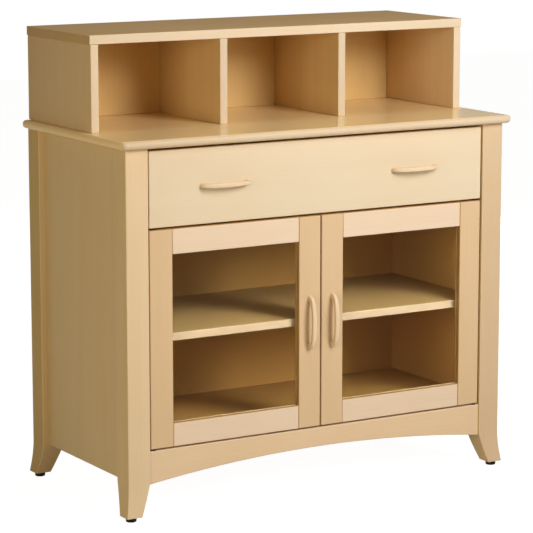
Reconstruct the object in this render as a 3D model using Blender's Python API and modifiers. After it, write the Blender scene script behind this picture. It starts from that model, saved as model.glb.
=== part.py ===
"""A maple sideboard: a panelled cabinet on four flared posts, with one wide drawer over a pair of
glazed doors, and a hutch of three open cubbies standing on its worktop.

Metres, +Z up. The front faces -Y, and the origin is on the floor at the middle of the outline.
"""

import math

import bmesh
import bpy
from mathutils import Matrix, Vector

# Carcase and posts
CARCASE_WIDTH = 1.000
CARCASE_DEPTH = 0.484
LEG_SIZE = 0.055
FOOT_LIFT = 0.0105
FOOT_TOP = 0.086
FOOT_WIDTH = 0.038
FOOT_FLARE = 0.0075
FOOT_FLARE_CURVE = 1.7
FOOT_TAPER_CURVE = 1.2
FOOT_SLICES = 7
SIDE_THICKNESS = 0.018
SIDE_RECESS = 0.013
SIDE_BOTTOM = 0.085
BACK_THICKNESS = 0.018
BOARD_THICKNESS = 0.019
BOTTOM_STEP = 0.012

# Worktop
WORKTOP_HEIGHT = 0.846
WORKTOP_THICKNESS = 0.019
WORKTOP_SIDE_OVERHANG = 0.015
WORKTOP_FRONT_OVERHANG = 0.018
WORKTOP_BACK_OVERHANG = 0.004
WORKTOP_NOSE = 0.009
WORKTOP_CORNER = 0.012
NOSE_STEPS = 4
CORNER_STEPS = 5
STRETCHER_WIDTH = 0.060

# Front: rail, doors and drawer lie in one plane, a little behind the posts
FRONT_RECESS = 0.004
FRONT_THICKNESS = 0.019
REVEAL = 0.004
RAIL_TOP = 0.154
RAIL_END = 0.079
ARCH_RISE = 0.0305
ARCH_SLICES = 20
DRAWER_FRONT_HEIGHT = 0.1695
DRAWER_TOP_GAP = 0.006
DRAWER_BOTTOM_GAP = 0.0045
STOP_GAP = 0.003

# Glazed doors
DOOR_MEMBER = 0.057
DOOR_BOTTOM_RAIL = 0.054
GLASS_THICKNESS = 0.004
GLASS_SETBACK = 0.009
GROOVE_DEPTH = 0.009
GLASS_BITE = 0.007
PIVOT_INSET = 0.008
PIVOT_SETBACK = 0.006
PIN_RADIUS = 0.003
PIN_REACH = 0.012
PIN_ROOT = 0.014
PIN_COLLAR = 0.0055
PLATE_THICKNESS = 0.0016
PLATE_HALF_WIDTH = 0.008
PLATE_LIP = 0.005
PLATE_TAB_HEIGHT = 0.008
CATCH_SIZE = Vector((0.030, 0.022, 0.014))
CATCH_INSET = 0.036

# Drawer box and its slides
DRAWER_BOX_LIFT = 0.012
DRAWER_BOX_HEADROOM = 0.0215
DRAWER_BOX_BACK_GAP = 0.0175
DRAWER_WALL = 0.012
DRAWER_BOTTOM_THICKNESS = 0.006
DRAWER_BOTTOM_INSET = 0.010
DRAWER_GROOVE = 0.006
SLIDE_WIDTH = 0.0127
SLIDE_HEIGHT = 0.045
SLIDE_FLANGE = 0.0098
SLIDE_METAL = 0.0012
SLIDE_RUNNING_GAP = 0.0006
SLIDE_TAB = 0.018
SLIDE_TAB_HEIGHT = 0.0225

# Shelf and the pins under it
SHELF_TOP = 0.409
SHELF_THICKNESS = 0.018
SHELF_SETBACK = 0.003
SHELF_PIN_RADIUS = 0.0025
SHELF_PIN_REACH = 0.009
SHELF_PIN_ROOT = 0.010
SHELF_PIN_INSET = 0.040

# Hutch
HUTCH_SIDE_INSET = 0.005
HUTCH_HEIGHT = 0.215
HUTCH_SETBACK = 0.168
HUTCH_BOARD = 0.019
HUTCH_TOP_THICKNESS = 0.0205
HUTCH_TOP_OVERHANG = 0.002
HUTCH_MIDDLE_CUBBY = 0.298
HUTCH_BACK_THICKNESS = 0.012
HUTCH_BACK_INSET = 0.020

# Bow pulls
PULL_LENGTH = 0.125
PULL_STANDOFF = 0.024
PULL_WIDTH = 0.011
PULL_THICKNESS = 0.009
PULL_FOOT = 0.014
PULL_FULLNESS = 2.5
PULL_TAPER = 0.25
PULL_ROUND = 0.003
PULL_ROUND_STEPS = 2
PULL_SEGMENTS = 18
DRAWER_PULL_INSET = 0.189
DOOR_PULL_HEIGHT = 0.402

# Levelling glides
GLIDE_RADIUS = 0.012
GLIDE_BASE = 0.008
GLIDE_CHAMFER = 0.002
GLIDE_NECK_RADIUS = 0.0075
STEM_RADIUS = 0.004
STEM_LENGTH = 0.026

# Fits and edges
FIT = 0.0003
PIN_CLEARANCE = 0.0003
EDGE = 0.0012
EDGE_ANGLE = 40
POST_EDGE_STEPS = 2
ROUND_PROFILE = 0.5
CUT_OVER = 0.002
ROUND_STEPS = 24
WELD = 0.00001
AXIS_MARK = 0.05

# Planes worked out from the sizes above
FRONT_REACH = max(WORKTOP_FRONT_OVERHANG, PULL_STANDOFF + FIT - FRONT_RECESS, FOOT_FLARE)
BACK_REACH = max(WORKTOP_BACK_OVERHANG, FOOT_FLARE)
POST_FRONT = FRONT_REACH - (FRONT_REACH + CARCASE_DEPTH + BACK_REACH) / 2
POST_BACK = POST_FRONT + CARCASE_DEPTH
POST_SIDE = CARCASE_WIDTH / 2
POST_INNER = POST_SIDE - LEG_SIZE
CASE_TOP = WORKTOP_HEIGHT - WORKTOP_THICKNESS - FIT
SIDE_INNER = POST_SIDE - SIDE_RECESS - SIDE_THICKNESS
BACK_FACE = POST_BACK - LEG_SIZE - FIT - BACK_THICKNESS
FACE_FRONT = POST_FRONT + FRONT_RECESS
FACE_BACK = FACE_FRONT + FRONT_THICKNESS
CASE_FRONT = FACE_BACK + STOP_GAP
BOTTOM_TOP = RAIL_TOP + BOTTOM_STEP
DRAWER_HIGH = CASE_TOP - DRAWER_TOP_GAP
DRAWER_LOW = DRAWER_HIGH - DRAWER_FRONT_HEIGHT
DRAWER_SPLIT = DRAWER_LOW - DRAWER_BOTTOM_GAP / 2
DIVIDER_LOW = DRAWER_SPLIT - BOARD_THICKNESS / 2
DIVIDER_HIGH = DRAWER_SPLIT + BOARD_THICKNESS / 2
DOOR_LOW = RAIL_TOP + REVEAL
DOOR_HIGH = DRAWER_SPLIT - DRAWER_BOTTOM_GAP / 2
DOOR_OUTER = POST_INNER - REVEAL
DOOR_INNER = REVEAL / 2
PIVOT_X = DOOR_OUTER - PIVOT_INSET
PIVOT_Y = FACE_FRONT + PIVOT_SETBACK
HUTCH_FRONT = POST_FRONT + HUTCH_SETBACK
HUTCH_REAR = POST_BACK + WORKTOP_BACK_OVERHANG
SIDES = {"left": -1, "right": 1}
ENDS = {"front": -1, "back": 1}

for old in list(bpy.data.objects):
    bpy.data.objects.remove(old, do_unlink=True)


def new_collection(name):
    collection = bpy.data.collections.new(name)
    bpy.context.scene.collection.children.link(collection)
    return collection


PARTS = new_collection("sideboard")
CUTTERS = new_collection("sideboard_cutters")


def srgb(text):
    """An sRGB hex colour as linear red, green and blue with full alpha."""
    channels = [int(text[i : i + 2], 16) / 255 for i in (0, 2, 4)]
    linear = [c / 12.92 if c <= 0.04045 else ((c + 0.055) / 1.055) ** 2.4 for c in channels]
    return (*linear, 1.0)


def finish(name, colour, roughness, metallic=0.0, transmission=0.0):
    material = bpy.data.materials.new(name)
    material.use_nodes = True
    shader = material.node_tree.nodes["Principled BSDF"]
    shader.inputs["Base Color"].default_value = srgb(colour)
    shader.inputs["Roughness"].default_value = roughness
    shader.inputs["Metallic"].default_value = metallic
    shader.inputs["Transmission Weight"].default_value = transmission
    return material


MAPLE = finish("lacquered_maple", "DFC49C", 0.38)
MAPLE_RAIL = finish("lacquered_maple_rail", "E5C8A6", 0.38)
MAPLE_PANEL = finish("lacquered_maple_panel", "D9BC8C", 0.36)
BOX_PLY = finish("birch_drawer_box", "D8C19A", 0.55)
GLASS = finish("clear_glass", "F4F8F5", 0.02, transmission=1.0)
NYLON = finish("black_nylon", "141414", 0.45)
STEEL = finish("zinc_plated_steel", "B9BCBF", 0.35, metallic=1.0)


def axis_empty(name, place):
    """An empty that stands on a joint's axis and carries the pieces that move on it."""
    empty = bpy.data.objects.new(name, None)
    empty.empty_display_size = AXIS_MARK
    empty.location = place
    PARTS.objects.link(empty)
    return empty


def place(obj, at, material=None, parent=None):
    """Put an object in its collection; without a material it is a cutter or an added lug."""
    obj.location = Vector(at) - (parent.location if parent else Vector())
    obj.parent = parent
    (PARTS if material else CUTTERS).objects.link(obj)
    if material:
        obj.data.materials.append(material)
    else:
        obj.hide_render = True
        obj.display_type = "WIRE"
    return obj


def mesh_object(name, bm):
    mesh = bpy.data.meshes.new(name)
    bm.to_mesh(mesh)
    bm.free()
    return bpy.data.objects.new(name, mesh)


def soften(obj, width=EDGE, segments=1):
    """Round the object's sharp edges."""
    bevel = obj.modifiers.new("soft_edges", "BEVEL")
    bevel.width = width
    bevel.segments = segments
    bevel.limit_method = "ANGLE"
    bevel.angle_limit = math.radians(EDGE_ANGLE)


def combine(obj, other, operation):
    boolean = obj.modifiers.new(operation.lower(), "BOOLEAN")
    boolean.object = other
    boolean.operation = operation
    boolean.solver = "EXACT"


def cube(low, high):
    """A cube primitive stretched between two corners, with the middle between them."""
    low, high = Vector(low), Vector(high)
    bm = bmesh.new()
    bmesh.ops.create_cube(bm, size=1.0)
    bmesh.ops.scale(bm, vec=high - low, verts=bm.verts)
    return bm, (low + high) / 2


def board(name, low, high, material, parent=None, edge=EDGE):
    """A plain board between two corners, its arrises eased."""
    bm, middle = cube(low, high)
    obj = place(mesh_object(name, bm), middle, material, parent)
    if edge:
        soften(obj, edge)
    return obj


def block(name, low, high, parent=None):
    """A hidden block for cutting, or for adding to another piece."""
    bm, middle = cube(low, high)
    return place(mesh_object(name, bm), middle, None, parent)


def peg(name, radius, low, high, x, y, parent=None):
    """A hidden upright cylinder for cutting a hole, or for adding a pin."""
    bm = bmesh.new()
    bmesh.ops.create_cone(
        bm, cap_ends=True, segments=ROUND_STEPS, radius1=radius, radius2=radius, depth=high - low
    )
    return place(mesh_object(name, bm), (x, y, (low + high) / 2), None, parent)


def turned(name, profile, at, material):
    """A turned piece: (radius, height) points, top to bottom, swept about the upright axis."""
    bm = bmesh.new()
    points = [bm.verts.new((radius, 0.0, height)) for radius, height in profile]
    for above, below in zip(points, points[1:]):
        bm.edges.new((above, below))
    obj = place(mesh_object(name, bm), at, material)
    screw = obj.modifiers.new("turn", "SCREW")
    screw.axis = "Z"
    screw.steps = ROUND_STEPS
    screw.render_steps = ROUND_STEPS
    screw.use_merge_vertices = True
    screw.merge_threshold = WELD
    return obj


def slice_cube(bm, axis, stations):
    """Cut loops through a cube, square to an axis, at the given stations."""
    normal = Vector([float(i == axis) for i in range(3)])
    for station in stations:
        geometry = bm.verts[:] + bm.edges[:] + bm.faces[:]
        bmesh.ops.bisect_plane(bm, geom=geometry, plane_co=normal * station, plane_no=normal)


# Posts: square above, swept out at the foot, and drilled for the glide's stem
FOOT_CENTRE = FOOT_WIDTH / 2 - FOOT_FLARE


def glide_axis(side, end):
    plane = POST_FRONT if end < 0 else POST_BACK
    return side * (POST_SIDE - FOOT_CENTRE), plane - end * FOOT_CENTRE


def leg(name, side, end):
    height = CASE_TOP - FOOT_LIFT
    bm = bmesh.new()
    bmesh.ops.create_cube(bm, size=1.0)
    bmesh.ops.scale(bm, vec=(LEG_SIZE, LEG_SIZE, height), verts=bm.verts)
    bmesh.ops.translate(bm, vec=(LEG_SIZE / 2, LEG_SIZE / 2, FOOT_LIFT + height / 2), verts=bm.verts)
    sweep_height = FOOT_TOP - FOOT_LIFT
    slice_cube(bm, 2, [FOOT_LIFT + sweep_height * (i + 1) / FOOT_SLICES for i in range(FOOT_SLICES)])
    taper = LEG_SIZE - FOOT_WIDTH + FOOT_FLARE
    for vert in bm.verts:
        down = max(0.0, (FOOT_TOP - vert.co.z) / sweep_height)
        outer = -FOOT_FLARE * down**FOOT_FLARE_CURVE
        inner = LEG_SIZE - taper * down**FOOT_TAPER_CURVE
        inward = [inner if depth > LEG_SIZE / 2 else outer for depth in vert.co.xy]
        vert.co.x = -side * inward[0]
        vert.co.y = -end * inward[1]
    bmesh.ops.recalc_face_normals(bm, faces=bm.faces)
    plane = POST_FRONT if end < 0 else POST_BACK
    obj = place(mesh_object(name, bm), (side * POST_SIDE, plane, 0.0), MAPLE)
    soften(obj, EDGE, POST_EDGE_STEPS)
    x, y = glide_axis(side, end)
    hole = peg(
        name + "_stem_hole", STEM_RADIUS + PIN_CLEARANCE, FOOT_LIFT - CUT_OVER,
        FOOT_LIFT + STEM_LENGTH + CUT_OVER, x, y,
    )
    combine(obj, hole, "DIFFERENCE")


def glide(name, side, end):
    """A levelling glide: a round nylon base, a neck up to the foot, and its stem in the post."""
    profile = [
        (0.0, FOOT_LIFT + STEM_LENGTH),
        (STEM_RADIUS, FOOT_LIFT + STEM_LENGTH),
        (STEM_RADIUS, FOOT_LIFT - FIT),
        (GLIDE_NECK_RADIUS, FOOT_LIFT - FIT),
        (GLIDE_NECK_RADIUS, GLIDE_BASE),
        (GLIDE_RADIUS - GLIDE_CHAMFER, GLIDE_BASE),
        (GLIDE_RADIUS, GLIDE_BASE - GLIDE_CHAMFER),
        (GLIDE_RADIUS, GLIDE_CHAMFER),
        (GLIDE_RADIUS - GLIDE_CHAMFER, 0.0),
        (0.0, 0.0),
    ]
    x, y = glide_axis(side, end)
    turned(name, profile, (x, y, 0.0), NYLON)


for end_name, end in ENDS.items():
    for side_name, side in SIDES.items():
        leg(f"leg_{end_name}_{side_name}", side, end)
        glide(f"glide_{end_name}_{side_name}", side, end)

# Case: side panels between the posts, back, bottom and drawer divider
side_panels = {}
for side_name, side in SIDES.items():
    faces = sorted((side * SIDE_INNER, side * (SIDE_INNER + SIDE_THICKNESS)))
    side_panels[side_name] = board(
        f"side_panel_{side_name}",
        (faces[0], POST_FRONT + LEG_SIZE + FIT, SIDE_BOTTOM),
        (faces[1], POST_BACK - LEG_SIZE - FIT, CASE_TOP),
        MAPLE_PANEL,
    )

CASE_HALF = SIDE_INNER - FIT
CASE_BACK = BACK_FACE - FIT
board(
    "case_back_panel",
    (-CASE_HALF, BACK_FACE, SIDE_BOTTOM),
    (CASE_HALF, BACK_FACE + BACK_THICKNESS, CASE_TOP),
    MAPLE_PANEL,
)


def case_floor(name, low, high, front=CASE_FRONT):
    """A horizontal board across the whole case, notched at its front corners to pass the posts."""
    obj = board(name, (-CASE_HALF, front, low), (CASE_HALF, CASE_BACK, high), MAPLE_PANEL)
    for side_name, side in SIDES.items():
        edges = sorted((side * (POST_INNER - FIT), side * POST_SIDE))
        notch = block(
            f"{name}_notch_{side_name}",
            (edges[0], POST_FRONT - CUT_OVER, low - CUT_OVER),
            (edges[1], POST_FRONT + LEG_SIZE + FIT, high + CUT_OVER),
        )
        combine(obj, notch, "DIFFERENCE")


case_floor("bottom_panel", BOTTOM_TOP - BOARD_THICKNESS, BOTTOM_TOP)
case_floor("drawer_divider_panel", DIVIDER_LOW, DIVIDER_HIGH)

# Stretchers tie the sides under the worktop, behind the front posts and before the back
STRETCHER_FRONT = POST_FRONT + LEG_SIZE + FIT
for end_name, front in (("front", STRETCHER_FRONT), ("rear", CASE_BACK - STRETCHER_WIDTH)):
    board(
        f"top_stretcher_{end_name}",
        (-CASE_HALF, front, CASE_TOP - BOARD_THICKNESS),
        (CASE_HALF, front + STRETCHER_WIDTH, CASE_TOP),
        MAPLE,
    )


def arch_height(x, half):
    """Height of the rail's lower edge: a circular arc over the rail's whole span."""
    radius = (half**2 + ARCH_RISE**2) / (2 * ARCH_RISE)
    return RAIL_END + math.sqrt(radius**2 - x**2) - (radius - ARCH_RISE)


def arched_rail():
    half = POST_INNER - FIT
    bm, middle = cube((-half, FACE_FRONT, RAIL_END), (half, FACE_BACK, RAIL_TOP))
    slice_cube(bm, 0, [half * (2 * (i + 1) / ARCH_SLICES - 1) for i in range(ARCH_SLICES - 1)])
    for vert in bm.verts:
        if vert.co.z < 0:
            vert.co.z = arch_height(vert.co.x, half) - middle.z
    rail = place(mesh_object("arched_front_rail", bm), middle, MAPLE_RAIL)
    soften(rail)
    for side_name, side in SIDES.items():
        hole = peg(
            f"rail_pin_hole_{side_name}", PIN_RADIUS + PIN_CLEARANCE, RAIL_TOP - PIN_ROOT - CUT_OVER,
            RAIL_TOP + CUT_OVER, side * PIVOT_X, PIVOT_Y,
        )
        combine(rail, hole, "DIFFERENCE")


arched_rail()


def worktop():
    """The worktop board: corners rounded in plan, then a full nose all round."""
    half = POST_SIDE + WORKTOP_SIDE_OVERHANG
    low = (-half, POST_FRONT - WORKTOP_FRONT_OVERHANG, WORKTOP_HEIGHT - WORKTOP_THICKNESS)
    high = (half, POST_BACK + WORKTOP_BACK_OVERHANG, WORKTOP_HEIGHT)
    bm, middle = cube(low, high)
    uprights = [e for e in bm.edges if abs(e.verts[0].co.z - e.verts[1].co.z) > WORKTOP_THICKNESS / 2]
    bmesh.ops.bevel(
        bm, geom=uprights, offset=WORKTOP_CORNER, segments=CORNER_STEPS, profile=ROUND_PROFILE,
        affect="EDGES",
    )
    obj = place(mesh_object("worktop", bm), middle, MAPLE_PANEL)
    soften(obj, WORKTOP_NOSE, NOSE_STEPS)


worktop()

# Shelf: one board across the case, lying on four pins set in the side panels
SHELF_LOW = SHELF_TOP - SHELF_THICKNESS
case_floor("shelf", SHELF_LOW, SHELF_TOP, CASE_FRONT + SHELF_SETBACK)


def shelf_pin(name, side_name, y):
    """A round pin lying across the case, its root in a hole of the side panel."""
    side = SIDES[side_name]
    z = SHELF_LOW - FIT - SHELF_PIN_RADIUS
    quarter = Matrix.Rotation(math.radians(90), 3, "Y")

    def rod(radius, near, far):
        bm = bmesh.new()
        bmesh.ops.create_cone(
            bm, cap_ends=True, segments=ROUND_STEPS, radius1=radius, radius2=radius, depth=far - near
        )
        bmesh.ops.rotate(bm, matrix=quarter, verts=bm.verts)
        return bm, (side * (near + far) / 2, y, z)

    root = SIDE_INNER + SHELF_PIN_ROOT
    bm, middle = rod(SHELF_PIN_RADIUS, SIDE_INNER - SHELF_PIN_REACH, root)
    place(mesh_object(name, bm), middle, STEEL)
    bm, middle = rod(SHELF_PIN_RADIUS + PIN_CLEARANCE, SIDE_INNER - CUT_OVER, root + PIN_CLEARANCE)
    combine(side_panels[side_name], place(mesh_object(name + "_hole", bm), middle), "DIFFERENCE")


for side_name in SIDES:
    shelf_pin(f"shelf_pin_front_{side_name}", side_name, POST_FRONT + LEG_SIZE + SHELF_PIN_INSET)
    shelf_pin(f"shelf_pin_back_{side_name}", side_name, CASE_BACK - SHELF_PIN_INSET)

# Hutch: ends and dividers stand on the worktop, the top runs over them, the back lies between
HUTCH_FOOT = WORKTOP_HEIGHT + FIT
HUTCH_CEILING = WORKTOP_HEIGHT + HUTCH_HEIGHT - HUTCH_TOP_THICKNESS
HUTCH_BACK_FACE = HUTCH_REAR - HUTCH_BACK_INSET - HUTCH_BACK_THICKNESS
HUTCH_HALF = POST_SIDE - HUTCH_SIDE_INSET
board(
    "hutch_top",
    (-HUTCH_HALF - HUTCH_TOP_OVERHANG, HUTCH_FRONT, HUTCH_CEILING),
    (HUTCH_HALF + HUTCH_TOP_OVERHANG, HUTCH_REAR, HUTCH_CEILING + HUTCH_TOP_THICKNESS),
    MAPLE_PANEL,
)
for side_name, side in SIDES.items():
    for upright, near, rear in (
        ("end", HUTCH_HALF - HUTCH_BOARD, HUTCH_REAR),
        ("divider", HUTCH_MIDDLE_CUBBY / 2, HUTCH_BACK_FACE - FIT),
    ):
        faces = sorted((side * near, side * (near + HUTCH_BOARD)))
        board(
            f"hutch_{upright}_{side_name}",
            (faces[0], HUTCH_FRONT, HUTCH_FOOT),
            (faces[1], rear, HUTCH_CEILING - FIT),
            MAPLE_PANEL,
        )
board(
    "hutch_back_panel",
    (-HUTCH_HALF + HUTCH_BOARD + FIT, HUTCH_BACK_FACE, HUTCH_FOOT),
    (HUTCH_HALF - HUTCH_BOARD - FIT, HUTCH_BACK_FACE + HUTCH_BACK_THICKNESS, HUTCH_CEILING - FIT),
    MAPLE_PANEL,
)


def bow_arc(half, height, steps):
    """Points of a superellipse from its right foot over the bow to its left foot."""
    power = 2 / PULL_FULLNESS
    points = []
    for i in range(steps + 1):
        turn = math.pi * i / steps
        along = math.copysign(abs(math.cos(turn)) ** power, math.cos(turn))
        points.append((half * along, height * max(0.0, math.sin(turn)) ** power))
    return points


def bow_pull(name, at, upright, parent):
    """A wooden bow pull: an arch sawn from a flat board, its ends narrowed and its edges rounded."""
    half = PULL_LENGTH / 2
    outer = bow_arc(half, PULL_STANDOFF, PULL_SEGMENTS)
    inner = bow_arc(half - PULL_FOOT, PULL_STANDOFF - PULL_THICKNESS, PULL_SEGMENTS)
    outline = outer + inner[::-1]
    curve = bpy.data.curves.new(name + "_outline", "CURVE")
    curve.dimensions = "2D"
    curve.fill_mode = "BOTH"
    curve.extrude = PULL_WIDTH / 2
    spline = curve.splines.new("POLY")
    spline.points.add(len(outline) - 1)
    for point, (along, out) in zip(spline.points, outline):
        point.co = (along, out, 0.0, 1.0)
    spline.use_cyclic_u = True
    flat = bpy.data.objects.new(name + "_outline", curve)
    CUTTERS.objects.link(flat)
    evaluated = flat.evaluated_get(bpy.context.evaluated_depsgraph_get())
    bm = bmesh.new()
    bm.from_mesh(bpy.data.meshes.new_from_object(evaluated))
    bpy.data.objects.remove(flat, do_unlink=True)
    bmesh.ops.remove_doubles(bm, verts=bm.verts, dist=WELD)
    for vert in bm.verts:
        vert.co.z *= 1 - PULL_TAPER * (vert.co.x / half) ** 2
    along = Vector((0, 0, 1)) if upright else Vector((1, 0, 0))
    out = Vector((0, -1, 0))
    turn = Matrix((along, out, along.cross(out))).transposed().to_4x4()
    bmesh.ops.transform(bm, matrix=turn, verts=bm.verts)
    bmesh.ops.recalc_face_normals(bm, faces=bm.faces)
    obj = place(mesh_object(name, bm), at, MAPLE, parent)
    soften(obj, PULL_ROUND, PULL_ROUND_STEPS)


# Drawer: a false front carries the box, which hangs on a steel slide at each side
DRAWER = axis_empty("drawer_slide_line", (0.0, FACE_FRONT, DRAWER_SPLIT))
BOX_LOW = DIVIDER_HIGH + DRAWER_BOX_LIFT
BOX_HIGH = CASE_TOP - BOARD_THICKNESS - DRAWER_BOX_HEADROOM
BOX_OUTER = POST_INNER - SLIDE_WIDTH
BOX_BACK = CASE_BACK - DRAWER_BOX_BACK_GAP
BOX_BOTTOM_LOW = BOX_LOW + DRAWER_BOTTOM_INSET
BOX_BOTTOM_HIGH = BOX_BOTTOM_LOW + DRAWER_BOTTOM_THICKNESS
BOX_BOTTOM_HALF = BOX_OUTER - DRAWER_WALL + DRAWER_GROOVE - FIT
BOX_BOTTOM_FRONT = FACE_BACK - DRAWER_GROOVE + FIT

drawer_front = board(
    "drawer_front",
    (-DOOR_OUTER, FACE_FRONT, DRAWER_LOW),
    (DOOR_OUTER, FACE_BACK, DRAWER_HIGH),
    MAPLE,
    DRAWER,
)
board(
    "drawer_bottom",
    (-BOX_BOTTOM_HALF, BOX_BOTTOM_FRONT, BOX_BOTTOM_LOW),
    (BOX_BOTTOM_HALF, BOX_BACK, BOX_BOTTOM_HIGH),
    BOX_PLY,
    DRAWER,
    edge=0.0,
)
bottom_groove = block(
    "drawer_bottom_groove",
    (-BOX_BOTTOM_HALF - FIT, BOX_BOTTOM_FRONT - FIT, BOX_BOTTOM_LOW - FIT),
    (BOX_BOTTOM_HALF + FIT, BOX_BACK + CUT_OVER, BOX_BOTTOM_HIGH + FIT),
    DRAWER,
)
combine(drawer_front, bottom_groove, "DIFFERENCE")
board(
    "drawer_back",
    (-BOX_OUTER + DRAWER_WALL + FIT, BOX_BACK - DRAWER_WALL, BOX_BOTTOM_HIGH + FIT),
    (BOX_OUTER - DRAWER_WALL - FIT, BOX_BACK, BOX_HIGH),
    BOX_PLY,
    DRAWER,
)
SLIDE_MIDDLE = (BOX_LOW + BOX_HIGH) / 2


def channel(name, web, mouth, low, high, ends, parent=None):
    """A pressed steel channel along the slide: a web at one face, flanges out to its mouth."""
    xs = sorted((web, mouth))
    obj = board(name, (xs[0], ends[0], low), (xs[1], ends[1], high), STEEL, parent, edge=0.0)
    inward = math.copysign(1.0, mouth - web)
    hollow = sorted((web + inward * SLIDE_METAL, mouth + inward * CUT_OVER))
    cutter = block(
        name + "_hollow",
        (hollow[0], ends[0] - CUT_OVER, low + SLIDE_METAL),
        (hollow[1], ends[1] + CUT_OVER, high - SLIDE_METAL),
        parent,
    )
    combine(obj, cutter, "DIFFERENCE")
    return obj


for side_name, side in SIDES.items():
    faces = sorted((side * BOX_OUTER, side * (BOX_OUTER - DRAWER_WALL)))
    low = Vector((faces[0], FACE_BACK - DRAWER_GROOVE + FIT, BOX_LOW))
    high = Vector((faces[1], BOX_BACK, BOX_HIGH))
    wall = board(f"drawer_side_{side_name}", low, high, BOX_PLY, DRAWER)
    combine(wall, bottom_groove, "DIFFERENCE")
    fit = Vector((FIT, FIT, FIT))
    housing = block(f"drawer_side_housing_{side_name}", low - fit, high + fit, DRAWER)
    combine(drawer_front, housing, "DIFFERENCE")

    half_height = SLIDE_HEIGHT / 2
    web = POST_INNER - FIT
    fixed = channel(
        f"drawer_slide_channel_{side_name}",
        side * web,
        side * (web - SLIDE_FLANGE),
        SLIDE_MIDDLE - half_height,
        SLIDE_MIDDLE + half_height,
        (FACE_BACK + SLIDE_METAL, CASE_BACK),
    )
    tab_ends = sorted((side * (web - SLIDE_METAL), side * (web + SLIDE_TAB)))
    tab = block(
        f"drawer_slide_tab_{side_name}",
        (tab_ends[0], CASE_BACK - SLIDE_METAL, SLIDE_MIDDLE - SLIDE_TAB_HEIGHT / 2),
        (tab_ends[1], CASE_BACK, SLIDE_MIDDLE + SLIDE_TAB_HEIGHT / 2),
    )
    combine(fixed, tab, "UNION")
    inner_half = half_height - SLIDE_METAL - SLIDE_RUNNING_GAP
    channel(
        f"drawer_slide_runner_{side_name}",
        side * (BOX_OUTER + FIT),
        side * (BOX_OUTER + FIT + SLIDE_FLANGE),
        SLIDE_MIDDLE - inner_half,
        SLIDE_MIDDLE + inner_half,
        (FACE_BACK + SLIDE_METAL, BOX_BACK),
        DRAWER,
    )
    pull_x = DOOR_OUTER - DRAWER_PULL_INSET
    pull_at = (side * pull_x, FACE_FRONT - FIT, (DRAWER_LOW + DRAWER_HIGH) / 2)
    bow_pull(f"drawer_pull_{side_name}", pull_at, False, DRAWER)

# Doors: grooved stiles and rails round a pane, turning on a pin below and a pinned plate above
GROOVE_FRONT = FACE_FRONT + GLASS_SETBACK - FIT
GROOVE_BACK = FACE_FRONT + GLASS_SETBACK + GLASS_THICKNESS + FIT
OPEN_LOW = DOOR_LOW + DOOR_BOTTOM_RAIL
OPEN_HIGH = DOOR_HIGH - DOOR_MEMBER
OPEN_INNER = DOOR_INNER + DOOR_MEMBER
OPEN_OUTER = DOOR_OUTER - DOOR_MEMBER


def spread(side, near, far):
    """Two distances from the middle, as X limits on one side, the lower first."""
    return sorted((side * near, side * far))


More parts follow.
